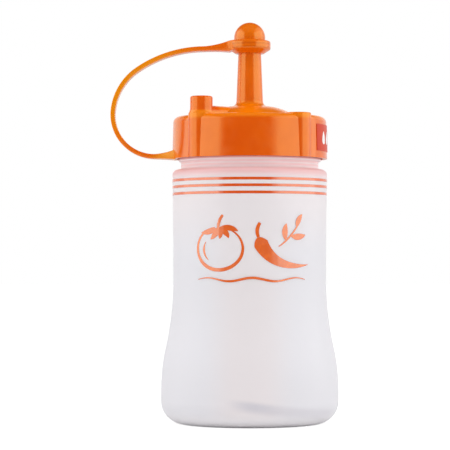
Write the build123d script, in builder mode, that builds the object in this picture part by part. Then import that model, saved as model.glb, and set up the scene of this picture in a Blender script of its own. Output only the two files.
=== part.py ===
from build123d import *
import os
from math import cos, degrees, radians, sin

os.makedirs("parts", exist_ok=True)

# A squeeze bottle for sauce, in millimetres. It stands on z = 0 with its axis on Z. The side that
# faces the camera is -Y, and the strap of the small cap loops out on the -X side.

# Blown bottle
wall = 1.2
foot_land = 1.6
push_up = 3.5
heel_round = 9.4
belly_radius = 37.2
belly_top = 14.0
swell_turn = 32.0
waist_radius = 32.05
waist_height = 60.0
shoulder_step = 3.7
shoulder_height = 106.2
shoulder_round = 2.3
neck_radius = 28.8
neck_length = 18.8
neck_root_round = 0.8
bead_height = 4.2
bead_half_width = 1.1
bead_out = 1.1

# Washer between the lip of the bottle and the screw cap
seal_thickness = 1.0
seal_overhang = 1.2
seat_clearance = 0.02

# Screw cap: skirt, deck, domed boss and nozzle
cap_gap = 4.5
thread_space = 1.9
skirt_wall = 1.4
skirt_draft = 0.4
deck_thickness = 2.3
rim_round = 2.5
boss_radius = 19.6
boss_rise = 4.5
boss_bulge = 1.35
boss_wall = 1.7
boss_foot_round = 1.5
nozzle_foot_radius = 5.7
nozzle_foot_round = 2.4
nozzle_tip_radius = 4.45
nozzle_length = 30.6
nozzle_wall = 1.2
nozzle_end = 1.6
nozzle_edge = 0.4
orifice_radius = 1.6

# Grip pillars round the skirt, and the post that parks the small cap
pillar_count = 4
pillar_radius = 5.4
pillar_pitch_radius = 28.1
pillar_rise = 0.6
pillar_round = 0.45
post_radius = 4.65
post_height = 7.4
post_flare = 0.75
post_flare_height = 2.6
post_round = 0.8
rib_half_width = 5.2
rib_rise = 3.8

# Small cap on the nozzle
tip_dome_radius = 6.55
tip_dome_height = 7.4
tip_flange_radius = 8.8
tip_flange_height = 5.8
tip_flange_chamfer = 1.8
tip_flange_slope = 0.7
tip_flange_round = 0.9
tip_cover = 8.4
tip_fit = 0.06
tip_headroom = 0.4
plug_length = 1.9
plug_fit = 0.05

# Strap that ties the small cap to the skirt, as it lies in the plane y = 0
strap_thickness = 1.9
strap_width = 7.0
strap_out = 24.85
strap_root_height = 1.25
strap_straight = 7.0
strap_dip = 0.15
strap_low_turn = 19.35
strap_high_turn = 10.2
strap_high_drop = 9.65
strap_top_turn = 37.0
strap_top_drop = 0.95
strap_root_rise = 2.9
strap_root_run = 6.8
strap_tip_rise = 2.85
strap_tip_fall = 2.2
strap_tip_run = 10.0
flare_depth = 1.0
strap_seat = 0.02
strap_clearance = 0.15

# Printed label on the skirt
label_height = 11.0
label_bottom = 2.9
label_width = 24.0
label_centre_angle = -10.0
label_thickness = 0.2
label_clearance = 0.02

# Heights and radii that follow from the sizes above
lip_height = shoulder_height + neck_length
shoulder_radius = neck_radius + shoulder_step
neck_bore_radius = neck_radius - wall
cap_bottom = shoulder_height + cap_gap
cap_land = lip_height + seal_thickness + 2 * seat_clearance
rim_top = cap_land + deck_thickness
skirt_inner_radius = neck_radius + thread_space
skirt_top_radius = skirt_inner_radius + skirt_wall
skirt_foot_radius = skirt_top_radius + skirt_draft
boss_top = rim_top + boss_rise
nozzle_top = boss_top + nozzle_length
tip_bottom = nozzle_top - tip_cover
pillar_top = rim_top + pillar_rise
front_left = 225.0
level_slack = 0.01
post_x = pillar_pitch_radius * cos(radians(front_left))
post_y = pillar_pitch_radius * sin(radians(front_left))


def rings_at(part, height):
    """The circular edges of a part at a height, from the smallest to the largest."""
    circles = part.edges().filter_by(GeomType.CIRCLE)
    level = circles.filter_by_position(Axis.Z, height - level_slack, height + level_slack)
    return level.sort_by(SortBy.RADIUS)


def skirt_radius_at(height):
    """The outer radius of the drafted skirt at a height."""
    return skirt_foot_radius - skirt_draft * (height - cap_bottom) / (rim_top - cap_bottom)


def nozzle_radius_at(height):
    """The outer radius of the tapered nozzle at a height."""
    share = (height - boss_top) / nozzle_length
    return nozzle_foot_radius + (nozzle_tip_radius - nozzle_foot_radius) * share


# The bottle is one outline spun about Z and then hollowed from the mouth. Its side rises from the
# heel to the belly, draws in to the waist through two arcs that meet in line, and opens very slightly
# towards the shoulder.
foot_radius = belly_radius - heel_round
swell_share = (swell_turn - belly_top) / (waist_height - belly_top)
swell_radius = belly_radius - (belly_radius - waist_radius) * swell_share
with BuildPart() as bottle_body:
    with BuildSketch(Plane.XZ):
        with BuildLine():
            TangentArc((0, push_up), (foot_radius - foot_land, 0), tangent=(1, 0))
            Line((foot_radius - foot_land, 0), (foot_radius, 0))
            JernArc((foot_radius, 0), tangent=(1, 0), radius=heel_round, arc_size=90)
            Line((belly_radius, heel_round), (belly_radius, belly_top))
            belly_turn = TangentArc(
                (belly_radius, belly_top), (swell_radius, swell_turn), tangent=(0, 1)
            )
            TangentArc(
                (swell_radius, swell_turn), (waist_radius, waist_height), tangent=belly_turn % 1
            )
            TangentArc(
                (waist_radius, waist_height), (shoulder_radius, shoulder_height), tangent=(0, 1)
            )
            Polyline(
                (shoulder_radius, shoulder_height),
                (neck_radius, shoulder_height),
                (neck_radius, lip_height),
                (0, lip_height),
                (0, push_up),
            )
        make_face()
    revolve(axis=Axis.Z)
    fillet(rings_at(bottle_body, shoulder_height)[-1], shoulder_round)
    fillet(rings_at(bottle_body, shoulder_height)[0], neck_root_round)
    mouth = bottle_body.faces().sort_by(Axis.Z)[-1]
    offset(amount=-wall, openings=mouth)
    with BuildSketch(Plane.XZ):
        bead_middle = shoulder_height + bead_height
        with BuildLine():
            Polyline(
                (neck_radius, bead_middle + bead_half_width),
                (neck_radius - wall / 2, bead_middle + bead_half_width),
                (neck_radius - wall / 2, bead_middle - bead_half_width),
                (neck_radius, bead_middle - bead_half_width),
            )
            ThreePointArc(
                (neck_radius, bead_middle - bead_half_width),
                (neck_radius + bead_out, bead_middle),
                (neck_radius, bead_middle + bead_half_width),
            )
        make_face()
    revolve(axis=Axis.Z)
bottle_body.part.label = "bottle_body"
export_step(bottle_body.part, "parts/bottle_body.step")

# The washer is flush with the bore of the neck and as wide as the lip and its thread.
with BuildPart() as seal_liner:
    with BuildSketch(Plane.XY.offset(lip_height + seat_clearance)):
        Circle(neck_radius + seal_overhang)
        Circle(neck_bore_radius, mode=Mode.SUBTRACT)
    extrude(amount=seal_thickness)
seal_liner.part.label = "seal_liner"
export_step(seal_liner.part, "parts/seal_liner.step")

# The screw cap is one hollow moulding: a drafted skirt, a flat deck, a domed boss and the nozzle,
# with four round pillars for grip. A post and a low rib stand on the front-left pillar.
post_axis = Axis((post_x, post_y, 0), (0, 0, 1))
post_plane = Plane((post_x, post_y, 0), x_dir=(1, 0, 0), z_dir=(0, -1, 0))
rib_direction = (cos(radians(front_left)), sin(radians(front_left)), 0)
rib_start = nozzle_foot_radius
rib_plane = Plane(
    tuple(rib_start * part for part in rib_direction), x_dir=(-rib_direction[1], rib_direction[0], 0),
    z_dir=rib_direction,
)
with BuildPart() as screw_cap:
    with BuildSketch(Plane.XZ):
        with BuildLine():
            Polyline(
                (0, cap_bottom),
                (skirt_foot_radius, cap_bottom),
                (skirt_top_radius, rim_top),
                (boss_radius, rim_top),
            )
            ThreePointArc(
                (boss_radius, rim_top),
                ((boss_radius + nozzle_foot_radius) / 2, (rim_top + boss_top) / 2 + boss_bulge),
                (nozzle_foot_radius, boss_top),
            )
            Polyline(
                (nozzle_foot_radius, boss_top),
                (nozzle_tip_radius, nozzle_top),
                (0, nozzle_top),
                (0, cap_bottom),
            )
        make_face()
    revolve(axis=Axis.Z)
    fillet(rings_at(screw_cap, rim_top)[-1], rim_round)
    fillet(rings_at(screw_cap, rim_top)[0], boss_foot_round)
    fillet(rings_at(screw_cap, boss_top)[0], nozzle_foot_round)
    chamfer(rings_at(screw_cap, nozzle_top)[0], nozzle_edge)
    with BuildSketch(Plane.XY.offset(cap_bottom)):
        with PolarLocations(pillar_pitch_radius, pillar_count, start_angle=front_left):
            Circle(pillar_radius)
    extrude(amount=pillar_top - cap_bottom)
    fillet(rings_at(screw_cap, pillar_top), pillar_round)
    with BuildSketch(rib_plane):
        with BuildLine():
            ThreePointArc((-rib_half_width, cap_land), (0, rim_top + rib_rise), (rib_half_width, cap_land))
            Line((-rib_half_width, cap_land), (rib_half_width, cap_land))
        make_face()
    extrude(amount=pillar_pitch_radius - rib_start)
    with BuildSketch(post_plane):
        with BuildLine():
            Polyline(
                (0, cap_land),
                (post_radius + post_flare, cap_land),
                (post_radius + post_flare, pillar_top - pillar_round),
            )
            TangentArc(
                (post_radius, pillar_top - pillar_round + post_flare_height),
                (post_radius + post_flare, pillar_top - pillar_round),
                tangent=(0, -1),
            )
            Polyline(
                (post_radius, pillar_top - pillar_round + post_flare_height),
                (post_radius, rim_top + post_height),
                (0, rim_top + post_height),
                (0, cap_land),
            )
        make_face()
    revolve(axis=post_axis)
    fillet(rings_at(screw_cap, rim_top + post_height)[0], post_round)
    with BuildSketch(Plane.XZ):
        with BuildLine():
            Polyline(
                (0, cap_bottom),
                (skirt_inner_radius, cap_bottom),
                (skirt_inner_radius, cap_land),
                (boss_radius - boss_wall, cap_land),
            )
            ThreePointArc(
                (boss_radius - boss_wall, cap_land),
                (
                    (boss_radius + nozzle_foot_radius) / 2 - boss_wall,
                    (cap_land + boss_top - boss_wall) / 2 + boss_bulge,
                ),
                (nozzle_foot_radius - nozzle_wall, boss_top - boss_wall),
            )
            Polyline(
                (nozzle_foot_radius - nozzle_wall, boss_top - boss_wall),
                (nozzle_tip_radius - nozzle_wall, nozzle_top - nozzle_end),
                (orifice_radius, nozzle_top - nozzle_end),
                (orifice_radius, nozzle_top),
                (0, nozzle_top),
                (0, cap_bottom),
            )
        make_face()
    revolve(axis=Axis.Z, mode=Mode.SUBTRACT)
screw_cap.part.label = "screw_cap"
export_step(screw_cap.part, "parts/screw_cap.step")

# The small cap is a flanged dome. Its socket has the nozzle's own taper, and a plug in the roof of
# the socket closes the orifice.
flange_top = tip_bottom + tip_flange_height
dome_centre = flange_top + tip_dome_height - tip_dome_radius
socket_top = nozzle_top + tip_headroom
with BuildPart() as tip_cap:
    with BuildSketch(Plane.XZ):
        with BuildLine():
            Polyline(
                (0, tip_bottom),
                (nozzle_radius_at(tip_bottom) + nozzle_wall, tip_bottom),
                (tip_flange_radius, tip_bottom + tip_flange_chamfer),
                (tip_flange_radius, flange_top - tip_flange_slope),
                (tip_dome_radius, flange_top),
                (tip_dome_radius, dome_centre),
            )
            CenterArc((0, dome_centre), tip_dome_radius, 0, 90)
            Line((0, dome_centre + tip_dome_radius), (0, tip_bottom))
        make_face()
    revolve(axis=Axis.Z)
    fillet(rings_at(tip_cap, flange_top - tip_flange_slope)[-1], tip_flange_round)
    fillet(rings_at(tip_cap, tip_bottom + tip_flange_chamfer)[-1], tip_flange_round)
    with BuildSketch(Plane.XZ):
        with BuildLine():
            Polyline(
                (0, tip_bottom),
                (nozzle_radius_at(tip_bottom) + tip_fit, tip_bottom),
                (nozzle_radius_at(nozzle_top) + tip_fit, nozzle_top),
                (nozzle_radius_at(nozzle_top) + tip_fit, socket_top),
                (orifice_radius - plug_fit, socket_top),
                (orifice_radius - plug_fit, socket_top - plug_length),
                (0, socket_top - plug_length),
                close=True,
            )
        make_face()
    revolve(axis=Axis.Z, mode=Mode.SUBTRACT)
tip_cap.part.label = "tip_cap"
export_step(tip_cap.part, "parts/tip_cap.step")

# The strap is a flat strip, cut from its side view. It leaves the skirt just above its lower edge,
# swings out in a loop and comes back level with the middle of the flange, and it flares in smooth
# curves at each end. The ends are cut to the round of what they meet.
strap_root = (-skirt_foot_radius, cap_bottom + strap_root_height)
strap_tip = (-tip_flange_radius, tip_bottom + tip_flange_height / 2)
loop_side = -skirt_foot_radius - strap_out
half_strap = strap_thickness / 2
with BuildPart() as tether_strap:
    with BuildSketch(Plane.XZ):
        with BuildLine():
            straight = Line(strap_root, (strap_root[0] - strap_straight, strap_root[1] - strap_dip))
            low_turn = TangentArc(
                straight @ 1, (loop_side, strap_root[1] + strap_low_turn), tangent=straight % 1
            )
            high_turn = TangentArc(
                low_turn @ 1,
                (loop_side + strap_high_turn, strap_tip[1] - strap_high_drop),
                tangent=low_turn % 1,
            )
            top_turn = TangentArc(
                high_turn @ 1,
                (loop_side + strap_top_turn, strap_tip[1] - strap_top_drop),
                tangent=high_turn % 1,
            )
            last_turn = TangentArc(top_turn @ 1, strap_tip, tangent=top_turn % 1)
            offset(amount=half_strap)
        make_face()
        root_start = straight @ (strap_root_run / straight.length)
        root_way = -(straight % 1)
        root_side = Vector(0, half_strap)
        with BuildLine():
            upper = TangentArc(
                root_start + root_side,
                (strap_root[0] + flare_depth, strap_root[1] + strap_root_rise),
                tangent=root_way,
            )
            lower = TangentArc(
                root_start - root_side, (strap_root[0] + flare_depth, cap_bottom), tangent=root_way
            )
            Line(upper @ 0, lower @ 0)
            Line(upper @ 1, lower @ 1)
        make_face()
        tip_share = 1 - strap_tip_run / last_turn.length
        tip_start = last_turn @ tip_share
        tip_way = last_turn % tip_share
        tip_side = tip_way.rotate(Axis.Z, 90) * half_strap
        with BuildLine():
            upper = TangentArc(
                tip_start + tip_side,
                (strap_tip[0] + flare_depth, strap_tip[1] + strap_tip_rise),
                tangent=tip_way,
            )
            lower = TangentArc(
                tip_start - tip_side,
                (strap_tip[0] + flare_depth, strap_tip[1] - strap_tip_fall),
                tangent=tip_way,
            )
            Line(upper @ 0, lower @ 0)
            Line(upper @ 1, lower @ 1)
        make_face()
    extrude(amount=strap_width / 2, both=True)
    with BuildSketch(Plane.XY.offset(cap_bottom)):
        Circle(skirt_foot_radius + strap_seat)
    extrude(amount=rim_top - cap_bottom, mode=Mode.SUBTRACT)
    with BuildSketch(Plane.XY.offset(tip_bottom)):
        Circle(tip_flange_radius + strap_clearance)
    extrude(amount=tip_flange_height, mode=Mode.SUBTRACT)
tether_strap.part.label = "tether_strap"
export_step(tether_strap.part, "parts/tether_strap.step")

# The label is a thin strip that follows the draft of the skirt, on the right of the front.
label_low = cap_bottom + label_bottom
label_high = label_low + label_height
label_arc = degrees(label_width / skirt_radius_at((label_low + label_high) / 2))
label_start = radians(label_centre_angle - label_arc / 2)
label_plane = Plane(
    (0, 0, 0), x_dir=(cos(label_start), sin(label_start), 0), z_dir=(sin(label_start), -cos(label_start), 0)
)
with BuildPart() as side_label:
    with BuildSketch(label_plane):
        with BuildLine():
            Polyline(
                (skirt_radius_at(label_low) + label_clearance, label_low),
                (skirt_radius_at(label_low) + label_clearance + label_thickness, label_low),
                (skirt_radius_at(label_high) + label_clearance + label_thickness, label_high),
                (skirt_radius_at(label_high) + label_clearance, label_high),
                close=True,
            )
        make_face()
    revolve(axis=Axis.Z, revolution_arc=label_arc)
side_label.part.label = "side_label"
export_step(side_label.part, "parts/side_label.step")
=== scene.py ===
# %% [markdown]
# # A squeeze bottle for sauce
# The bottle is a frosted blown shell with a glossy orange screw cap. The cap carries a nozzle, and a
# small domed cap closes the nozzle and hangs on a thin looped strap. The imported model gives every
# rigid piece its size and place, so the first step is to load it and to keep its box. Blender
# measures in metres, and `MM` turns a number of millimetres into metres.

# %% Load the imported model
import math

import bpy
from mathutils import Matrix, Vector


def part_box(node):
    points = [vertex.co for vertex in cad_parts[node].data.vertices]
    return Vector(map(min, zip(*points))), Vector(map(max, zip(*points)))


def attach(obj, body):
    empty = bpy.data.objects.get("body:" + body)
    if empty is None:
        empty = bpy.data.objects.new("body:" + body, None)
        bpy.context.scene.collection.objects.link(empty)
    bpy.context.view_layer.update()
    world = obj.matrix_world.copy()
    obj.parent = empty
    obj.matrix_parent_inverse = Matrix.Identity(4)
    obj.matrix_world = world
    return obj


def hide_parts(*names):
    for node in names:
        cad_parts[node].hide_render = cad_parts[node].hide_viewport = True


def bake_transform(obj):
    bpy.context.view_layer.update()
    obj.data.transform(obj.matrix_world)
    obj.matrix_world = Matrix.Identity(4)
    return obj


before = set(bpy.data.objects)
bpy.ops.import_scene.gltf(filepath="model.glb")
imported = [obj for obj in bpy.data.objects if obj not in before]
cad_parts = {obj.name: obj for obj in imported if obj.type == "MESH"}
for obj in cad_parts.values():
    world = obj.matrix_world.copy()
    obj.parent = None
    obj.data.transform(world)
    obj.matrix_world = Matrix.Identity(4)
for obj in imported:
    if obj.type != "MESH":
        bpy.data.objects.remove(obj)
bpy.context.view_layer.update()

MM = 0.001


def in_mm(lengths):
    """Lengths in metres as rounded millimetres, for printing."""
    return [round(length / MM, 1) for length in lengths]


# %% [markdown]
# Several finishes and pieces start from a height of the cap: its foot, its deck and the foot of the
# small cap. They could be typed in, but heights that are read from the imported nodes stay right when
# a size of the bottle changes.

# %% Heights of the caps
DECK_RISE = 17.6 * MM
CAP_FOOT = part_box("screw_cap")[0].z
DECK = CAP_FOOT + DECK_RISE
TIP_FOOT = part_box("tip_cap")[0].z
print("cap foot, deck and small cap's foot in mm:", in_mm([CAP_FOOT, DECK, TIP_FOOT]))

# %% [markdown]
# ## The camera
# The photograph was taken from a little under a metre away with a long lens, from two fifths of the
# bottle's height. Such a view could be tuned by eye, but three lines of the photograph settle it:
# the column of the bottle's axis, the row of its foot, and the row at eye level, where the ellipses
# of the round edges close. A pixel spans 0.42 mm at the bottle's axis, and that sets the lens.

# %% Place the camera
PICTURE = 450
AXIS_COLUMN, FOOT_ROW, EYE_ROW = 249.7, 422.8, 264.0
PIXEL = 0.42 * MM
DISTANCE = 2150 * PIXEL
NEAREST, FARTHEST = 0.05, 20


def place_of(column, row):
    """The point of the plane through the bottle's axis that a pixel of the photograph shows."""
    return Vector(((column - AXIS_COLUMN) * PIXEL, 0, (FOOT_ROW - row) * PIXEL))


camera_data = bpy.data.cameras.new("camera")
camera = bpy.data.objects.new("camera", camera_data)
bpy.context.scene.collection.objects.link(camera)
bpy.context.scene.camera = camera
camera.location = place_of(AXIS_COLUMN, EYE_ROW) + Vector((0, -DISTANCE, 0))
look = place_of(PICTURE / 2, PICTURE / 2) - camera.location
camera.rotation_euler = look.to_track_quat("-Z", "Y").to_euler()
half_view = math.atan(PICTURE / 2 * PIXEL / look.length)
camera_data.lens = camera_data.sensor_width / 2 / math.tan(half_view)
camera_data.clip_start, camera_data.clip_end = NEAREST, FARTHEST
print("lens in mm:", round(camera_data.lens, 1), "distance in mm:", round(look.length / MM))

# %% [markdown]
# ## Writing materials as expressions
# A material is a graph of nodes. It could be wired node by node, but a rule such as "1 minus the mask,
# times 0.2" is easier to read as Python. `Number` wraps one socket, and each sign used on it adds the
# Math node that it stands for. `Graph.node` is the one way in which any other node is made. A Mix
# node has several sockets of one name, so its colour sockets are reached by their place in the row.

# %% Numbers and graphs
COLOUR_A, COLOUR_B, COLOUR_OUT = 6, 7, 2


class Number:
    """A number that runs through a graph. Python's signs add the Math nodes."""

    def __init__(self, graph, socket):
        self.graph, self.socket = graph, socket

    def math(self, operation, first, second):
        made = self.graph.node("ShaderNodeMath", {"operation": operation}, {0: first, 1: second})
        return Number(self.graph, made.outputs[0])

    def __add__(self, other):
        return self.math("ADD", self, other)

    def __sub__(self, other):
        return self.math("SUBTRACT", self, other)

    def __rsub__(self, other):
        return self.math("SUBTRACT", other, self)

    def __mul__(self, other):
        return self.math("MULTIPLY", self, other)

    def __abs__(self):
        return self.math("ABSOLUTE", self, 0)

    __radd__ = __add__
    __rmul__ = __mul__


def plain(value):
    """The socket inside a Number, or any other value as it is."""
    return value.socket if isinstance(value, Number) else value


class Graph:
    """A tree of shader nodes, and the few calls that build what runs through it."""

    def __init__(self, owner):
        owner.use_nodes = True
        self.tree = owner.node_tree
        self.tree.nodes.clear()

    def node(self, kind, settings=(), inputs=()):
        """Add a node: first its settings, then the value or the link of each socket named."""
        made = self.tree.nodes.new(kind)
        for key, value in dict(settings).items():
            setattr(made, key, value)
        for key, value in dict(inputs).items():
            source = plain(value)
            if isinstance(source, bpy.types.NodeSocket):
                self.tree.links.new(source, made.inputs[key])
            else:
                made.inputs[key].default_value = source
        return made

    def number(self, kind, output, settings=(), inputs=()):
        """Add a node and wrap one of its outputs."""
        return Number(self, self.node(kind, settings, inputs).outputs[output])

    def ramp(self, value, low, high):
        """0 where a value is below low, 1 where it is above high, and a smooth rise between."""
        inputs = {"Value": value, "From Min": low, "From Max": high}
        return self.number("ShaderNodeMapRange", "Result", {"interpolation_type": "SMOOTHSTEP"}, inputs)

    def mix(self, share, first, second):
        """A colour between two others."""
        inputs = {"Factor": share, COLOUR_A: first, COLOUR_B: second}
        return self.node("ShaderNodeMix", {"data_type": "RGBA"}, inputs).outputs[COLOUR_OUT]


print("graphs ready")

# %% [markdown]
# A colour is easiest to read as it looks on screen, from 0 to 255 a channel. A shader wants the light
# behind it, so each channel goes through the screen's own curve, which has a straight foot.

# %% Colours and greys
def colour(red, green, blue):
    """A colour as it looks on screen, 0 to 255 a channel, turned into the light that a shader wants."""
    def light(level):
        share = level / 255
        return share / 12.92 if share <= 0.04045 else ((share + 0.055) / 1.055) ** 2.4
    return light(red), light(green), light(blue), 1.0


def grey(level):
    """A neutral light of this strength, where 1 is white."""
    return level, level, level, 1.0


print("light of a middle grey on screen:", round(colour(128, 128, 128)[0], 3))

# %% [markdown]
# A finish is a graph with one Principled shader in it. What is the same all over the piece is set on
# the shader's own sockets, and what changes over the surface is led into it. A pattern could follow a
# UV map, but moulded plastic has no direction of its own, so all patterns are laid out in metres on
# the piece itself. They stay in place when it moves.

# %% A finish
LINE_CORE = 0.25


class Finish(Graph):
    """A material with one Principled shader. Its constants are set straight on the shader."""

    def __init__(self, name, constants):
        self.material = bpy.data.materials.new(name)
        super().__init__(self.material)
        self.surface = self.node("ShaderNodeBsdfPrincipled", {}, constants)
        self.node("ShaderNodeOutputMaterial", {}, {"Surface": self.surface.outputs[0]})
        self.place = self.node("ShaderNodeTexCoord").outputs["Object"]

    def feed(self, socket, value):
        """Lead a value into a socket of the Principled shader."""
        self.tree.links.new(plain(value), self.surface.inputs[socket])

    def along(self, axis):
        """The X, Y or Z of a point of the piece, in metres."""
        return self.number("ShaderNodeSeparateXYZ", axis, {}, {0: self.place})

    def noise(self, size, detail=2.0):
        """A soft random cloud with parts of about this size in metres, from 0 to 1."""
        inputs = {"Vector": self.place, "Scale": 1 / size, "Detail": detail}
        return self.number("ShaderNodeTexNoise", "Fac", {}, inputs)

    def patches(self, size, detail, low, high):
        """The noise with its middle range spread out: 0 below low and 1 above high."""
        return self.ramp(self.noise(size, detail), low, high)

    def line(self, value, half_width):
        """1 on the thin line where a value is 0, and 0 beyond a half width from it."""
        return 1 - self.ramp(abs(value), LINE_CORE * half_width, half_width)

    def bump(self, value, depth):
        """Raise a pattern this high, in metres, from the surface."""
        inputs = {"Height": value, "Distance": depth, "Strength": 1.0}
        self.feed("Normal", self.node("ShaderNodeBump", {}, inputs).outputs["Normal"])


print("finishes ready")

# %% [markdown]
# ## The studio
# The photograph is a cut-out on pure white, lit by two large soft boxes at the sides: every upright
# orange surface shows a dark band in front and a pale band on each side of it. More light would make
# the background white, but it would bleach the bottle too. So the white is given to camera rays,
# reflections and refractions alone, while matt surfaces get a dimmer sky. The dark band is the dark
# end of the room behind the camera, which only reflections see. It goes on overhead and ends behind
# the bottle. `DARK_SHIFT` moves it a little aside, and the two pairs are where its soft edges begin
# and end.

# %% World
SKY_FILL, DARK_END = 0.64, 0.03
DARK_SHIFT, DARK_EDGE = 0.057, (0.54, 0.67)
BACK_EDGE = 0.1, 0.6
world = bpy.data.worlds.new("studio")
bpy.context.scene.world = world
room = Graph(world)
rays = room.node("ShaderNodeLightPath").outputs
outward = room.node("ShaderNodeTexCoord").outputs["Generated"]
ways = room.node("ShaderNodeSeparateXYZ", {}, {0: outward}).outputs
right, back, up = [Number(room, ways[axis]) for axis in "XYZ"]
glossy = Number(room, rays["Is Glossy Ray"])
straight = Number(room, rays["Is Camera Ray"]) + Number(room, rays["Is Transmission Ray"])
sky = room.mix(room.ramp(straight + glossy, 0, 1), grey(SKY_FILL), grey(1))
to_the_sides = room.ramp(abs(right + DARK_SHIFT), *DARK_EDGE)
to_the_back = room.ramp(back - up, *BACK_EDGE)
dark = glossy * (1 - to_the_sides) * (1 - to_the_back)
seen_room = room.mix(dark, sky, grey(DARK_END))
background = room.node("ShaderNodeBackground", {}, {"Color": seen_room, "Strength": 1.0})
room.node("ShaderNodeOutputWorld", {}, {"Surface": background.outputs[0]})
bpy.context.scene.view_settings.view_transform = "Standard"
print("sky for matt surfaces:", SKY_FILL)

# %% [markdown]
# The soft boxes are rectangular area lamps. Each is given the radiance of its face, where 1 is white,
# and the watts follow from its size, so a box can grow without getting brighter in a reflection. The
# top box lights the deck. It is hidden from reflections, because its mirror image would lie on the
# glossy deck as a white patch, which the photograph doesn't show.

# %% Soft boxes
BOTTLE_MIDDLE = Vector((0, 0, 0.09))


def soft_box(name, azimuth, away, height, size, radiance):
    """A rectangular lamp that faces the bottle. Azimuth 0 is the camera's side, and 90 the right."""
    lamp = bpy.data.lights.new(name, "AREA")
    lamp.shape = "RECTANGLE"
    lamp.size, lamp.size_y = size
    lamp.energy = radiance * math.pi * lamp.size * lamp.size_y
    stand = bpy.data.objects.new(name, lamp)
    bpy.context.scene.collection.objects.link(stand)
    turn = math.radians(azimuth)
    stand.location = (away * math.sin(turn), -away * math.cos(turn), height)
    stand.rotation_euler = (BOTTLE_MIDDLE - stand.location).to_track_quat("-Z", "Y").to_euler()
    print(name, "watts:", round(lamp.energy, 2))
    return stand


soft_box("box_left", azimuth=-80, away=1.3, height=0.55, size=(2.0, 1.1), radiance=0.87)
soft_box("box_right", azimuth=78, away=1.3, height=0.55, size=(2.1, 1.1), radiance=0.94)
box_top = soft_box("box_top", azimuth=0, away=0.25, height=1.1, size=(1.2, 0.9), radiance=1.3)
box_top.visible_glossy = False

# %% [markdown]
# The floor is a pale sheet. It could be lit until it is white, but the light would bounce up into the
# bottle. Instead a share of what is seen of it is a bright glow of its own, which only the camera and
# refractions see. The rest is lit paper, so the sheet still darkens in the bottle's contact shadow.

# %% Floor
FLOOR_SIZE = 12
GLOW_SHARE, GLOW_STRENGTH = 0.6, 1.4


def start_with(primitive, **settings):
    """Add a primitive at its size and place, with nothing else selected."""
    bpy.ops.object.select_all(action="DESELECT")
    primitive(**settings)
    return bpy.context.active_object


floor = start_with(bpy.ops.mesh.primitive_plane_add, size=FLOOR_SIZE)
floor.name = "floor"
pale_sheet = bpy.data.materials.new("pale_sheet")
sheet = Graph(pale_sheet)
sheet_rays = sheet.node("ShaderNodeLightPath").outputs
paper = sheet.node("ShaderNodeBsdfDiffuse", {}, {"Color": colour(246, 246, 246)})
glow = sheet.node("ShaderNodeEmission", {}, {"Color": grey(1), "Strength": GLOW_STRENGTH})
seen = Number(sheet, sheet_rays["Is Camera Ray"]) + Number(sheet, sheet_rays["Is Transmission Ray"])
shares = {"Fac": sheet.ramp(seen, 0, 1) * GLOW_SHARE, 1: paper.outputs[0], 2: glow.outputs[0]}
blended = sheet.node("ShaderNodeMixShader", {}, shares)
sheet.node("ShaderNodeOutputMaterial", {}, {"Surface": blended.outputs[0]})
floor.data.materials.append(pale_sheet)
print("floor of", floor.dimensions.x, "m")

# %% [markdown]
# ## Orange plastic
# The cap, its strap and the small cap are one glossy polypropylene moulding. One flat orange would
# look like a drawing, since such plastic isn't quite even: its colour drifts a little where it
# flowed, the mould leaves a fine orange-peel skin, and handling makes some patches a shade duller.
# Three noises say that. A piece also has a third colour in places, a painted light or a painted shade,
# which its own mask picks out, and one function makes the finish of all three pieces.

# %% Glossy plastic
MOULDED = {"IOR": 1.54, "Specular IOR Level": 1.0, "Specular Tint": (1.0, 0.92, 0.35, 1.0)}
POLISHED, WORN_DULLER = 0.17, 0.1
PEEL_SIZE, PEEL_HEIGHT = 1.6 * MM, 0.004 * MM


def glossy_plastic(name, deep, light, third, where_third):
    """Glossy moulded plastic that drifts between two close colours, with a painted light or shade in a
    third colour in places.
    """
    finish = Finish(name, MOULDED)
    flow = finish.patches(14 * MM, detail=3.0, low=0.35, high=0.65)
    finish.feed("Base Color", finish.mix(where_third(finish), finish.mix(flow, deep, light), third))
    worn = finish.patches(5 * MM, detail=4.0, low=0.45, high=0.75)
    finish.feed("Roughness", POLISHED + WORN_DULLER * worn)
    finish.bump(finish.noise(PEEL_SIZE, detail=1.0), PEEL_HEIGHT)
    print(name, "nodes:", len(finish.tree.nodes))
    return finish.material


# %% [markdown]
# On the cap, the third colour is a paler orange, a painted light. It lies on the deck with its rim and
# boss, where the light from above falls, weakly on the nozzle, as a painted highlight on the left end
# of the skirt, and not on the parking post. The places could be painted by hand, but as pairs of
# distances, where an edge begins and where it ends, they are easy to read and to move.

# %% Plastic of the screw cap
DECK_EDGE = DECK - 2.5 * MM, DECK - 0.5 * MM
NOZZLE_FOOT = DECK + 5 * MM, DECK + 7.5 * MM
POST_FOOT = DECK + 1 * MM, DECK + 2 * MM
POST_FROM_AXIS = (20 * MM) ** 2, (23 * MM) ** 2
LEFT_HIGHLIGHT_EDGE = -31 * MM, -27 * MM
DECK_LIGHT_SHARE, LESS_ON_NOZZLE, LEFT_HIGHLIGHT_SHARE = 0.7, 0.6, 0.5


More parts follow.
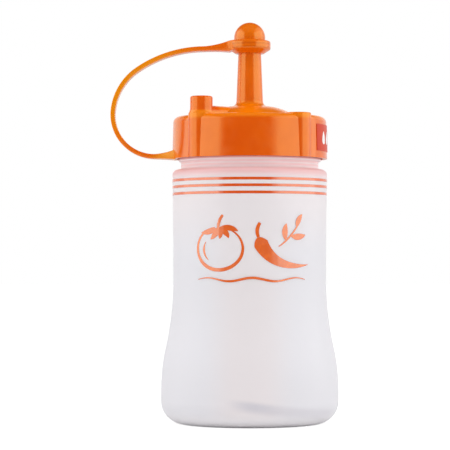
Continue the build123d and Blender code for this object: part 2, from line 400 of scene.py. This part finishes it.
def painted_light_on_deck(finish):
    """Painted light on the deck with its rim and boss, without the post, and a little of the nozzle,
    and a painted highlight on the left end.
    """
    x, y, height = [finish.along(axis) for axis in "XYZ"]
    above = finish.ramp(height, *DECK_EDGE)
    nozzle = finish.ramp(height, *NOZZLE_FOOT)
    post = finish.ramp(x * x + y * y, *POST_FROM_AXIS) * finish.ramp(height, *POST_FOOT)
    left_highlight = 1 - finish.ramp(x, *LEFT_HIGHLIGHT_EDGE)
    # painted light from above on the deck, and a painted highlight on the skirt's left end
    deck = DECK_LIGHT_SHARE * above * (1 - LESS_ON_NOZZLE * nozzle) * (1 - post)
    return deck + LEFT_HIGHLIGHT_SHARE * (1 - above) * left_highlight


cap_plastic = glossy_plastic(
    "cap_plastic", colour(224, 82, 0), colour(230, 90, 0), colour(248, 136, 0), painted_light_on_deck
)

# %% [markdown]
# The flange of the small cap shows two fine level lines, a shade deeper than the rest: painted shade of
# two shallow grooves. They could be grooves in the solid, but they are so shallow that their shade is
# painted in the colour. A line is given by its height over the small cap's foot and by half of its
# width.

# %% Plastic of the small cap
FLANGE_LINES = 2.45 * MM, 3.9 * MM
FLANGE_LINE_HALF, FLANGE_SHADE_SHARE = 0.5 * MM, 0.45


def groove_shade_on_flange(finish):
    """Painted shade of two fine level grooves round the flange of the small cap."""
    height = finish.along("Z") - TIP_FOOT
    lower, upper = [finish.line(height - level, FLANGE_LINE_HALF) for level in FLANGE_LINES]
    return FLANGE_SHADE_SHARE * (lower + upper)


tip_plastic = glossy_plastic(
    "tip_plastic", colour(226, 100, 0), colour(232, 108, 0), colour(196, 74, 0), groove_shade_on_flange
)

# %% [markdown]
# The strap is thin and lets a little light through, so it is paler than the screw cap. Its third colour
# is paler still: a painted light on the upper left of the loop, and a painted highlight on the flared
# root, as in the photograph.

# %% Plastic of the strap
UPPER_LOOP = DECK - 14 * MM, DECK + 4 * MM
RIGHT_OF_LOOP = -44 * MM, -14 * MM
NEAR_ROOT, ROOT_HIGHLIGHT_SHARE = (-43 * MM, -37 * MM), 0.8


def painted_light_on_loop_and_root(finish):
    """Painted light on the upper left of the strap's loop, and a painted highlight on its root at the
    skirt.
    """
    x = finish.along("X")
    upper = finish.ramp(finish.along("Z"), *UPPER_LOOP)
    loop = upper * (1 - finish.ramp(x, *RIGHT_OF_LOOP))
    return loop + ROOT_HIGHLIGHT_SHARE * (1 - upper) * finish.ramp(x, *NEAR_ROOT)


strap_plastic = glossy_plastic(
    "strap_plastic", colour(232, 98, 0), colour(236, 106, 0), colour(238, 138, 0), painted_light_on_loop_and_root
)

# %% [markdown]
# ## Frosted bottle
# The bottle is blown from milky, half clear plastic with a fine matt skin. A fully clear shader would
# look like glass, and a plain white one like china. So a fifth of the light passes through, and the
# rest is milk: a cloud of two close whites. As in the photograph, it is cooler at the sides, up to well
# above the waist, and whitest at the heel, where a painted light stands for the light that the heel
# passes on from the sheet below.

# %% Milk of the wall
MILKY = {"IOR": 1.5, "Specular IOR Level": 0.5, "Transmission Weight": 0.2, "Emission Strength": 1.0}
SIDES = 5 * MM, 20 * MM
ABOVE_WAIST = 68 * MM, 95 * MM
HEEL = 1.5 * MM, 7 * MM
COOL_SHARE, HEEL_LIGHT_SHARE = 0.9, 0.9
frosted = Finish("frosted_plastic", MILKY)
x, y, height = [frosted.along(axis) for axis in "XYZ"]
milk = frosted.mix(frosted.noise(22 * MM), colour(247, 240, 242), colour(250, 244, 246))
cool = frosted.ramp(abs(x), *SIDES) * (1 - frosted.ramp(height, *ABOVE_WAIST))
milk = frosted.mix(COOL_SHARE * cool, milk, colour(241, 240, 245))
# painted light at the heel, from the sheet below
heel_light = 1 - frosted.ramp(height, *HEEL)
milk = frosted.mix(HEEL_LIGHT_SHARE * heel_light, milk, colour(255, 252, 255))
print("milk of the wall, nodes so far:", len(frosted.tree.nodes))

# %% [markdown]
# Near the foot, the edge of the pushed-up base shows through the front wall as a slanting grey streak
# of shade. This milky shader hides such an edge, so the streak is painted shade, drawn on the front of
# the wall. It fades in left of the middle, is softer below than above, and weakens to the right.

# %% Painted shade of the base near the foot
STREAK_HEIGHT, STREAK_SLOPE = 9.5 * MM, 0.13
STREAK_LOWER_EDGE = -4.2 * MM, -0.6 * MM
STREAK_UPPER_EDGE = 0.2 * MM, 2.6 * MM
STREAK_START = -12 * MM, 1.5 * MM
STREAK_END, STREAK_LOSS = (3 * MM, 16 * MM), 0.5
STREAK_BACK = -20 * MM, -8 * MM
above_it = height + STREAK_SLOPE * x - STREAK_HEIGHT
# painted shade of the pushed-up base, seen through the front wall
seen_base_shade = frosted.ramp(above_it, *STREAK_LOWER_EDGE) * (1 - frosted.ramp(above_it, *STREAK_UPPER_EDGE))
seen_base_shade *= frosted.ramp(x, *STREAK_START) * (1 - STREAK_LOSS * frosted.ramp(x, *STREAK_END))
seen_base_shade *= 1 - frosted.ramp(y, *STREAK_BACK)
wall = frosted.mix(seen_base_shade, milk, colour(226, 222, 229))
print("streak at", in_mm([STREAK_HEIGHT]), "mm")

# %% [markdown]
# Near the cap, the milk picks up a pink tint from the orange above, a painted light bounced off the
# cap. The tint is paler in the groove of the neck, a painted light in the cap's shade, and deeper on
# two fine grooves of the neck as painted shade, on one line of the shoulder, and on a strong line at
# the bead, a painted shadow and reflection of the cap's foot. Light that bounces off the cap tints the
# neck too, but less than the photograph shows, so the tint is painted. A line is given by how far it
# lies below the cap and by half of its width.

# %% Painted pink light and shade below the cap
PINK_EDGE, PINK_SHARE = (CAP_FOOT - 9.5 * MM, CAP_FOOT - 5.5 * MM), 0.95
GROOVE_EDGE = CAP_FOOT - 5 * MM, CAP_FOOT - 4 * MM
NECK_LINES = 1.7 * MM, 3.05 * MM
NECK_LINE_HALF, NECK_SHADE_SHARE = 0.6 * MM, 0.5
SHOULDER_LINE, SHOULDER_LINE_HALF, SHOULDER_SHARE = 6.35 * MM, 0.8 * MM, 0.4
BEAD_SHADOW_HALF, BEAD_SHADOW_SHARE = 0.9 * MM, 0.8
# the groove of the neck gets a paler tint, a painted light in the cap's shade
groove_light = frosted.ramp(height, *GROOVE_EDGE)
pink = frosted.mix(groove_light, colour(255, 206, 206), colour(255, 234, 234))
below_cap = CAP_FOOT - height
upper_line, lower_line = [frosted.line(below_cap - depth, NECK_LINE_HALF) for depth in NECK_LINES]
neck_lines = upper_line + lower_line
shoulder_line = frosted.line(below_cap - SHOULDER_LINE, SHOULDER_LINE_HALF)
fine_lines = NECK_SHADE_SHARE * neck_lines + SHOULDER_SHARE * shoulder_line
# painted shade on the neck's fine grooves, and the shoulder line
pink = frosted.mix(fine_lines, pink, colour(240, 186, 184))
# painted shadow and reflection of the cap's foot on the bead
pink = frosted.mix(BEAD_SHADOW_SHARE * frosted.line(below_cap, BEAD_SHADOW_HALF), pink, colour(236, 132, 124))
near_cap = frosted.ramp(height, *PINK_EDGE)
frosted.feed("Base Color", frosted.mix(near_cap * PINK_SHARE, wall, pink))
print("neck lines below the cap in mm:", in_mm(NECK_LINES))

# %% [markdown]
# In the narrow groove below the cap, a faint light of its own stands for the daylight that comes
# through the neck, because the shader lets too little of it pass. The skin is matt and grained. Where
# the two halves of the mould met, a hair-thin line stands up each side and across the foot, and the
# neck's lines are fine grooves. All of these are too small for the mesh, so one bump holds them.

# %% Daylight, skin and parting line
DAYLIGHT = 0.09, 0.08, 0.085, 1
DAYLIGHT_TOP = CAP_FOOT - 2.5 * MM, CAP_FOOT + 1.5 * MM
MATT, MATT_DRIFT = 0.34, 0.1
PARTING_HALF, PARTING_RISE = 0.3 * MM, 0.5
GRAIN_SIZE, GRAIN_RISE = 0.5 * MM, 0.12
RELIEF = 0.12 * MM
through_wall = groove_light * (1 - frosted.ramp(height, *DAYLIGHT_TOP))
frosted.feed("Emission Color", frosted.mix(through_wall, grey(0), DAYLIGHT))
frosted.feed("Roughness", MATT + MATT_DRIFT * frosted.noise(3 * MM, detail=3.0))
parting = frosted.line(y, PARTING_HALF)
grain = frosted.noise(GRAIN_SIZE)
frosted.bump(PARTING_RISE * parting - neck_lines + GRAIN_RISE * grain, RELIEF)
print("frosted plastic, nodes:", len(frosted.tree.nodes))

# %% [markdown]
# ## Ink, film and foam
# The rings and the drawing are printed in a glossy orange ink, the label is a red film, and the
# drops on it are a satin white ink. Printed ink lies thinner in some places than in others, so each
# drifts between a pale and a full colour. The orange ink has a high IOR and turns pale at the sides,
# as the rings do in the photograph, and the drawing's ink is a little more yellow than theirs.

# %% Inks and film
LACQUER = {"IOR": 2.3, "Specular IOR Level": 0.46, "Specular Tint": (0.86, 1.0, 0.84, 1.0)}
FILM = {"IOR": 1.5, "Specular IOR Level": 0.3, "Specular Tint": (1.0, 0.85, 0.6, 1.0)}
SATIN = {"IOR": 1.5, "Specular IOR Level": 0.3}
INK_DRIFT = 0.1


def ink(name, pale, full, roughness, gloss):
    """Printing ink, which lies a little thinner in some places than in others."""
    finish = Finish(name, gloss)
    laid = finish.patches(1.6 * MM, detail=4.0, low=0.3, high=0.55)
    finish.feed("Base Color", finish.mix(laid, pale, full))
    finish.feed("Roughness", roughness + INK_DRIFT * finish.noise(0.7 * MM))
    print(name, "nodes:", len(finish.tree.nodes))
    return finish.material


orange_ink = ink("orange_ink", colour(232, 88, 0), colour(224, 78, 0), 0.06, LACQUER)
print_ink = ink("print_ink", colour(238, 103, 0), colour(230, 93, 0), 0.06, LACQUER)
label_film = ink("label_film", colour(210, 56, 4), colour(206, 48, 2), 0.35, FILM)
white_ink = ink("white_ink", colour(238, 228, 226), colour(248, 243, 241), 0.38, SATIN)

# %% [markdown]
# The washer under the cap is closed-cell foam. Its pores could be modelled, but half a millimetre is
# too small for that, so a Voronoi pattern gives each pore a dent and a darker middle, painted shade in
# its hollow.

# %% Foam
SPONGY = {"IOR": 1.4, "Specular IOR Level": 0.2, "Roughness": 0.85}
PORE_SIZE, PORE_DEPTH = 0.5 * MM, 0.06 * MM
foam = Finish("foam", SPONGY)
pore_inputs = {"Vector": foam.place, "Scale": 1 / PORE_SIZE}
pores = foam.number("ShaderNodeTexVoronoi", "Distance", {}, pore_inputs)
out_of_pore_shade = foam.ramp(pores, 0, 0.5)
# painted shade in the middle of each pore
foam.feed("Base Color", foam.mix(out_of_pore_shade, colour(214, 211, 206), colour(233, 231, 227)))
foam.bump(pores, PORE_DEPTH)
print("foam with pores of", in_mm([PORE_SIZE]), "mm")

# %% [markdown]
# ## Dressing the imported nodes
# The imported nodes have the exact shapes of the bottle, the caps, the washer and the label, so they
# are kept as they are, and each only needs its finish. The strap's node gets one too, although a
# softer strap replaces it below.

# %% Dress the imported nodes
def dress(piece, material):
    """Give a piece one finish all over."""
    piece.data.materials.clear()
    piece.data.materials.append(material)


node_finish = {
    "bottle_body": frosted.material,
    "screw_cap": cap_plastic,
    "tip_cap": tip_plastic,
    "seal_liner": foam.material,
    "side_label": label_film,
    "tether_strap": strap_plastic,
}
for node_name, material in node_finish.items():
    dress(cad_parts[node_name], material)
print("dressed:", sorted(node_finish))

# %% [markdown]
# ## Working on a mesh
# The pieces below start from primitives and are shaped in edit mode. An operator acts on everything
# that is selected, so one piece is chosen at a time. The steps that every piece needs are functions:
# merging doubled points, turning faces outwards, closing open ends and applying a modifier.

# %% Helpers for a mesh
POINT_GAP = 0.002 * MM


def choose(piece):
    """Select one piece alone and make it active."""
    bpy.ops.object.select_all(action="DESELECT")
    piece.select_set(True)
    bpy.context.view_layer.objects.active = piece


def tidy(piece, gap=POINT_GAP):
    """Merge doubled points and turn every face outwards."""
    choose(piece)
    bpy.ops.object.mode_set(mode="EDIT")
    bpy.ops.mesh.select_all(action="SELECT")
    bpy.ops.mesh.remove_doubles(threshold=gap)
    bpy.ops.mesh.normals_make_consistent(inside=False)
    bpy.ops.object.mode_set(mode="OBJECT")


def close_ends(piece, sides):
    """Fill the open ends, which have no more sides than this, and tidy the piece."""
    choose(piece)
    bpy.ops.object.mode_set(mode="EDIT")
    bpy.ops.mesh.select_all(action="SELECT")
    bpy.ops.mesh.fill_holes(sides=sides)
    bpy.ops.object.mode_set(mode="OBJECT")
    tidy(piece)


def modify(piece, kind, **settings):
    """Add a modifier with its settings, and apply it."""
    choose(piece)
    added = piece.modifiers.new(kind.lower(), kind)
    for key, value in settings.items():
        setattr(added, key, value)
    bpy.ops.object.modifier_apply(modifier=added.name)


def join(pieces):
    """Make one object of several."""
    choose(pieces[0])
    for piece in pieces:
        piece.select_set(True)
    bpy.ops.object.join()
    return bpy.context.active_object


def place_piece(piece, name, material, body):
    """Name a finished piece, dress it and let it ride on its body."""
    piece.name = piece.data.name = name
    dress(piece, material)
    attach(piece, body)
    print(name, "faces:", len(piece.data.polygons))


print("points nearer than", POINT_GAP / MM, "mm are merged")

# %% [markdown]
# ## Screw threads
# The neck has a right-handed ridge of one and a half turns, and the skirt has one turn inside that
# runs under it. Both are hidden until the cap comes off. A ridge could be swept along a curve, but
# its section would tilt. So its section, a plane shaped to a low trapezium, is wound up by a Screw
# modifier. Its ends then run out to nothing, and it is turned to the angle where it starts.

# %% Threads
THREAD_PITCH = 5 * MM
THREAD_FOOT, THREAD_CREST = 1.3 * MM, 0.5 * MM
STEPS_A_TURN, RIDGE_SIDES = 96, 4
RUN_OUT, LEAST_RISE = 0.12, 0.02
THREAD_SMOOTH = math.radians(35)


def thread(root, crest, start, start_angle, turns):
    """A helical ridge from a root radius to a crest radius, wound up from the height of its start."""
    ridge = start_with(bpy.ops.mesh.primitive_plane_add, size=2)
    for corner in ridge.data.vertices:
        at_crest = corner.co.x > 0
        half = THREAD_CREST if at_crest else THREAD_FOOT
        corner.co = (crest if at_crest else root, 0, start + half * corner.co.y)
    steps = round(STEPS_A_TURN * turns)
    winding = {"angle": math.tau * turns, "screw_offset": THREAD_PITCH * turns}
    modify(ridge, "SCREW", **winding, steps=steps, render_steps=steps)
    for point in ridge.data.vertices:
        x, y, z = point.co
        share = math.atan2(y, x) / math.tau
        along = share + round((z - start) / THREAD_PITCH - share)
        rise = min(1, max(LEAST_RISE, min(along, turns - along) / RUN_OUT))
        radius = root + (math.hypot(x, y) - root) * rise * (2 - rise)
        turn = math.tau * along + start_angle
        point.co = (radius * math.cos(turn), radius * math.sin(turn), z)
    close_ends(ridge, RIDGE_SIDES)
    bpy.ops.object.shade_smooth_by_angle(angle=THREAD_SMOOTH)
    return ridge


neck_thread = thread(root=28.7 * MM, crest=30.2 * MM, start=114 * MM, start_angle=0, turns=1.5)
place_piece(neck_thread, "neck_thread", frosted.material, "bottle")
cap_thread = thread(
    root=30.8 * MM, crest=29.3 * MM, start=112.75 * MM, start_angle=math.pi / 2, turns=1.0
)
place_piece(cap_thread, "cap_thread", cap_plastic, "cap")

# %% [markdown]
# ## Laying ink on a wall
# The rings, the drawing and the drops are ink on a curved wall. A Shrinkwrap modifier could press
# them on, but it needs settings for each wall. Here each point is laid on the wall by a level ray
# towards the axis, so that the print follows the wall and keeps its height. It then gets the
# thickness of a layer of ink. A ray needs the scene to be up to date, so that comes first.

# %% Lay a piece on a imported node
INK_GAP, INK = 0.03 * MM, 0.05 * MM
RAY_START = 0.1
bpy.context.view_layer.update()


def lay_on(piece, node_name, gap=INK_GAP):
    """Lay a piece's points on a node, along level lines towards the axis, and thicken it."""
    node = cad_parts[node_name]
    for point in piece.data.vertices:
        outward = Vector((point.co.x, point.co.y, 0)).normalized()
        place = node.ray_cast(outward * RAY_START + Vector((0, 0, point.co.z)), -outward)[1]
        point.co = place + outward * gap
    modify(piece, "SOLIDIFY", thickness=INK, offset=1)


print("a layer of ink in mm:", INK / MM)

# %% [markdown]
# Three thin orange rings are printed below the shoulder. They could be a pattern in the bottle's
# material, but as a piece they keep a sharp edge and an ink of their own. Each starts as a short open
# tube a little wider than the bottle.

# %% Rings
RING_HEIGHTS = (101.5 * MM, 98.8 * MM, 95.9 * MM)
RING_WIDTH, RING_FACETS, TUBE_RADIUS = 1.1 * MM, 240, 34 * MM
tube = {"vertices": RING_FACETS, "radius": TUBE_RADIUS, "depth": RING_WIDTH, "end_fill_type": "NOTHING"}
rings = []
for ring_height in RING_HEIGHTS:
    ring = start_with(bpy.ops.mesh.primitive_cylinder_add, **tube, location=(0, 0, ring_height))
    bpy.ops.object.transform_apply(location=True)
    rings.append(ring)
printed_rings = join(rings)
lay_on(printed_rings, "bottle_body")
place_piece(printed_rings, "printed_rings", orange_ink, "bottle")

# %% [markdown]
# ## Drawing with ribbons
# The print on the front is drawn with ribbons of ink. A text or a curve could be turned into a mesh,
# but its long thin faces would not follow the round wall. A ribbon is a grid whose long side follows
# a path in the flat, in millimetres to the right and up, and whose short side swells and thins as a
# brush stroke does. A narrow one draws a line and a broad one fills a leaf or a drop.

# %% Ribbons
NEARBY = 0.001
STROKE_GAP = 0.01 * MM


def start_grid(rows, columns):
    """A flat grid from -1 to 1, with this many faces along X and along Y."""
    add = bpy.ops.mesh.primitive_grid_add
    return start_with(add, x_subdivisions=rows, y_subdivisions=columns, size=2)


def ribbon(path, half_width, rows, columns=2):
    """A flat stroke along a path from 0 to 1. Both functions give millimetres."""
    stroke = start_grid(rows, columns)
    for point in stroke.data.vertices:
        share = (1 - math.cos(math.pi * (point.co.x + 1) / 2)) / 2
        here = Vector(path(share))
        ahead = Vector(path(share + NEARBY)) - Vector(path(share - NEARBY))
        across = Vector((-ahead.y, ahead.x)).normalized()
        flat = (here + across * point.co.y * half_width(share)) * MM
        point.co = (flat.x, 0, flat.y)
    tidy(stroke, STROKE_GAP)
    return stroke


def wrap(piece, azimuth, radius):
    """Wrap a flat drawing round the axis, with its middle at an azimuth counted from +X."""
    for point in piece.data.vertices:
        turn = azimuth + point.co.x / radius
        point.co = (radius * math.cos(turn), radius * math.sin(turn), point.co.z)


print("a ribbon merges points nearer than", STROKE_GAP / MM, "mm")

# %% [markdown]
# A path is a function of a share from 0 to 1, and so is the half width along it. Three kinds of path
# and two kinds of stroke make most of the drawing.

# %% Paths and strokes
WAVE_LEFT, WAVE_LENGTH = -23, 48
WAVE_HEIGHT, WAVE_RISE, WAVE_TURNS = 60.4, 0.7, 2.5


def curve(start, lean, end):
    """A path that leaves its start towards the point lean and comes from there to its end."""
    def path(share):
        left, right = (1 - share) ** 2, share ** 2
        return [left * a + 2 * share * (1 - share) * b + right * c for a, b, c in zip(start, lean, end)]
    return path


def oval(centre, across, up, start, sweep):
    """A path round an oval, from a start in degrees."""
    def path(share):
        turn = math.radians(start + sweep * share)
        return centre[0] + across * math.cos(turn), centre[1] + up * math.sin(turn)
    return path


def wave(share):
    """A level path from left to right that rises and falls two and a half times."""
    rise = WAVE_RISE * math.sin(math.tau * WAVE_TURNS * share)
    return WAVE_LEFT + WAVE_LENGTH * share, WAVE_HEIGHT + rise


def brush(thin, thick):
    """The half width of a stroke that starts and ends thin."""
    return lambda share: thin + (thick - thin) * max(0, math.sin(math.pi * share))


def leaf(thick, point=0.75):
    """The half width of a leaf, pointed at both ends."""
    return lambda share: thick * max(0, math.sin(math.pi * share)) ** point


print("the wave starts and ends at", wave(0), wave(1))

# %% [markdown]
# ## The print on the front
# The drawing is a plain kitchen still life: a tomato in outline with its leaves, a chilli, a sprig and
# a wavy line below. It covers about the same field as the orange print in the photograph. The tomato
# is a thick oval that doesn't quite close, a thin one for its glint, a stalk, and five leaves round
# the crown, each of which bends as it leaves it.

# %% Tomato
TOMATO, CROWN = (-13.0, 73.0), (-13.2, 81.2)
GLINT = (TOMATO[0] + 0.4, TOMATO[1] - 0.3)
LEAVES = ((196, 8.4), (238, 6.6), (276, 5.4), (312, 6.8), (350, 8.6))
LEAF_SQUASH, LEAF_TWIST, LEAF_LIFT = 0.8, 0.35, 0.4
LEAN_ACROSS, LEAN_UP = 0.6, 0.4
strokes = [
    ribbon(oval(TOMATO, across=10.2, up=8.7, start=100, sweep=325), brush(0.25, 0.75), 96),
    ribbon(oval(GLINT, across=7.4, up=6.1, start=150, sweep=75), brush(0.1, 0.5), 32),
    ribbon(curve((-13.2, 81.0), (-13.4, 84.0), (-11.2, 86.6)), brush(0.5, 0.65), 16),
]
for degrees, length in LEAVES:
    turn = math.radians(degrees)
    end = (CROWN[0] + length * math.cos(turn), CROWN[1] + length * LEAF_SQUASH * math.sin(turn))
    lean_across = CROWN[0] + LEAN_ACROSS * length * math.cos(turn + LEAF_TWIST)
    lean_up = CROWN[1] + LEAF_LIFT + LEAN_UP * length * math.sin(turn + LEAF_TWIST)
    strokes.append(ribbon(curve(CROWN, (lean_across, lean_up), end), leaf(1.15), 24, 4))
print("strokes of the tomato:", len(strokes))

# %% [markdown]
# The chilli is one broad ribbon with a stalk, the sprig is a thin stem with three leaves, and the wavy
# line closes the drawing below. Their points are given one by one, as a drawing's are.

# %% Chilli, sprig and wavy line
CHILLI_THICK, CHILLI_HEAD, CHILLI_TAPER = 3.3, 0.1, 0.8


def chilli(share):
    """The half width of the chilli, which is blunt at its stalk and runs out to a point."""
    return CHILLI_THICK * min(1, share / CHILLI_HEAD) ** 0.5 * (1 - share) ** CHILLI_TAPER


strokes += [
    ribbon(curve((3.5, 77.5), (8.5, 63.5), (27.0, 66.5)), chilli, 64, 9),
    ribbon(curve((3.6, 77.6), (2.2, 80.5), (4.2, 83.4)), brush(0.6, 0.75), 16),
    ribbon(curve((12.0, 73.8), (17.0, 76.5), (22.5, 84.5)), brush(0.15, 0.4), 32),
    ribbon(curve((15.4, 76.2), (14.2, 79.8), (15.6, 83.2)), leaf(1.3), 24, 4),
    ribbon(curve((17.6, 78.2), (21.0, 77.2), (25.2, 78.6)), leaf(1.3), 24, 4),
    ribbon(curve((20.6, 81.6), (20.8, 84.6), (23.4, 87.0)), leaf(1.2), 24, 4),
    ribbon(wave, brush(0.12, 0.5), 96),
]
print("strokes in all:", len(strokes))

# %% [markdown]
# The flat strokes are wrapped round the waist and laid on the wall. Where they cross, two faces in
# one place would flicker, so each stroke is laid a hair higher than the one before it.

# %% Lay the print on the bottle
FRONT = -math.pi / 2
WAIST_RADIUS = 32.3 * MM
STROKE_LIFT = 0.01 * MM
for layer, stroke in enumerate(strokes):
    wrap(stroke, FRONT, WAIST_RADIUS)
    lay_on(stroke, "bottle_body", INK_GAP + STROKE_LIFT * layer)
front_print = join(strokes)
place_piece(front_print, "front_print", print_ink, "bottle")

# %% [markdown]
# The red label carries three plain white drops. A drop could be cut from a sphere, but one ribbon
# with a round foot and a pointed top draws it flat, as ink is.

# %% Label print
LABEL_AT = math.radians(-10)
LABEL_RADIUS = 32.6 * MM
DROP_HALF, DROP_STEP, DROP_THICK = 2.75, 5.4, 1.75
TO_FULL_WIDTH = 2.6
label_low, label_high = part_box("side_label")
label_middle = (label_low.z + label_high.z) / 2 / MM


def drop(share):
    """The half width of a drop from its round foot to its tip."""
    return DROP_THICK * TO_FULL_WIDTH * share ** 0.5 * (1 - share)


drops = []
for right in (-DROP_STEP, 0, DROP_STEP):
    foot, tip = (right, label_middle - DROP_HALF), (right, label_middle + DROP_HALF)
    drops.append(ribbon(curve(foot, (right, label_middle), tip), drop, 24, 6))
label_print = join(drops)
wrap(label_print, LABEL_AT, LABEL_RADIUS)
lay_on(label_print, "side_label")
place_piece(label_print, "label_print", white_ink, "cap")

# %% [markdown]
# ## The strap
# The strap is a flat strip with softly rounded edges, and it flares where it grows out of the skirt
# and out of the flange. A bevelled curve would draw the strip, but not the flares, which differ
# above, below and at the sides. So its line comes first. Seen from the front, it is a row of arcs,
# and each leaves in line with the one before it. A station is a point of that line, in millimetres
# across and up, with the heading there. The line starts inside the skirt and ends inside the flange.

# %% The line of the strap
STRAP_OUT, ROOT_HEIGHT, TIP_HEIGHT = 24.85, 1.25, 2.9
ROOT_RUN, ROOT_DIP = 7.0, 0.15
LOW_TURN = 19.35
HIGH_TURN, HIGH_DROP = 10.2, 9.65
TOP_TURN, TOP_DROP = 37.0, 0.95
ROOT_SINK, TIP_SINK = 1.4, 2.4
STATION_STEP = 0.7
NO_BEND = 1e-9
skirt_radius = -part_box("screw_cap")[0].x / MM
flange_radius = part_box("tip_cap")[1].x / MM
strap_root = Vector((-skirt_radius, CAP_FOOT / MM + ROOT_HEIGHT))
strap_tip = Vector((-flange_radius, TIP_FOOT / MM + TIP_HEIGHT))
loop_side = strap_root.x - STRAP_OUT
first_way = Vector((-ROOT_RUN, -ROOT_DIP))
first_place = strap_root - ROOT_SINK * first_way.normalized()
stations = [(first_place, math.atan2(first_way.y, first_way.x))]


def run_to(across, up):
    """Lead the line on to a place, in one arc that leaves along the present heading."""
    here, heading = stations[-1]
    chord = Vector((across, up)) - here
    bend = math.remainder(math.atan2(chord.y, chord.x) - heading, math.tau) or NO_BEND
    steps = math.ceil(chord.length / STATION_STEP)
    for step in range(1, steps + 1):
        part = bend * step / steps
        way = Vector((math.cos(heading + part), math.sin(heading + part)))
        along = way * chord.length * math.sin(part) / math.sin(bend)
        stations.append((here + along, heading + 2 * part))


run_to(*(strap_root + first_way))
run_to(loop_side, strap_root.y + LOW_TURN)
run_to(loop_side + HIGH_TURN, strap_tip.y - HIGH_DROP)
run_to(loop_side + TOP_TURN, strap_tip.y - TOP_DROP)
run_to(*strap_tip)
run_to(strap_tip.x + TIP_SINK, strap_tip.y)
print("stations:", len(stations))

# %% [markdown]
# The strip is a grid. One of its directions runs along the stations, and the other runs round the
# section, which is a rectangle with a quarter circle at each corner. A flare is a distance from its
# end, what it adds there and how steeply it runs out. The first two corners of the section lie on
# the outer side of the loop.

# %% Shape the strap
HALF_WIDTH, HALF_STRAP, EDGE_ROUND = 3.5, 0.95, 0.3
CORNER_POINTS = 5
ROUND_POINTS = 4 * CORNER_POINTS
OUTER_ROOT, OUTER_TIP = (11.4, 0.6, 2), (12.4, 1.7, 1.5)
INNER_ROOT, INNER_EDGE = (9.4, 1.6, 2), (10, 1.1, 2)
SIDE_ROOT, SIDE_TIP = (11.4, 3.8, 1.3), (5.2, 2.1, 2)
STRAP_SMOOTH = math.radians(40)


def flare(from_end, run, extra, power):
    """What a flare adds to one side of the strap, at a distance from its end."""
    return extra * max(0, 1 - from_end / run) ** power


rows = len(stations) - 1
strap = start_grid(rows, ROUND_POINTS)
strap.name = strap.data.name = "strap"
for point in strap.data.vertices:
    middle, heading = stations[round((point.co.x + 1) / 2 * rows)]
    corner, step = divmod(round((point.co.y + 1) / 2 * ROUND_POINTS) % ROUND_POINTS, CORNER_POINTS)
    turn = math.pi / 2 * (corner + step / (CORNER_POINTS - 1))
    from_root, from_tip = (middle - stations[0][0]).length, (middle - stations[-1][0]).length
    if corner in (0, 1):
        reach = HALF_STRAP - EDGE_ROUND + flare(from_root, *OUTER_ROOT) + flare(from_tip, *OUTER_TIP)
    else:
        from_edge = (middle - strap_tip).length
        reach = EDGE_ROUND - HALF_STRAP - flare(from_root, *INNER_ROOT) - flare(from_edge, *INNER_EDGE)
    side = HALF_WIDTH - EDGE_ROUND + flare(from_root, *SIDE_ROOT) + flare(from_tip, *SIDE_TIP)
    side = side if corner in (0, 3) else -side
    out = reach + EDGE_ROUND * math.sin(turn)
    place = middle + out * Vector((-math.sin(heading), math.cos(heading)))
    point.co = Vector((place.x, side + EDGE_ROUND * math.cos(turn), place.y)) * MM
tidy(strap)
close_ends(strap, ROUND_POINTS)
bpy.ops.object.shade_smooth_by_angle(angle=STRAP_SMOOTH)
print("strap faces:", len(strap.data.polygons))

# %% [markdown]
# The strap gets its finish, the imported strap is hidden, and the strap's place is baked into its
# points.

# %% Dress the strap
dress(strap, strap_plastic)
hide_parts("tether_strap")
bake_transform(strap)
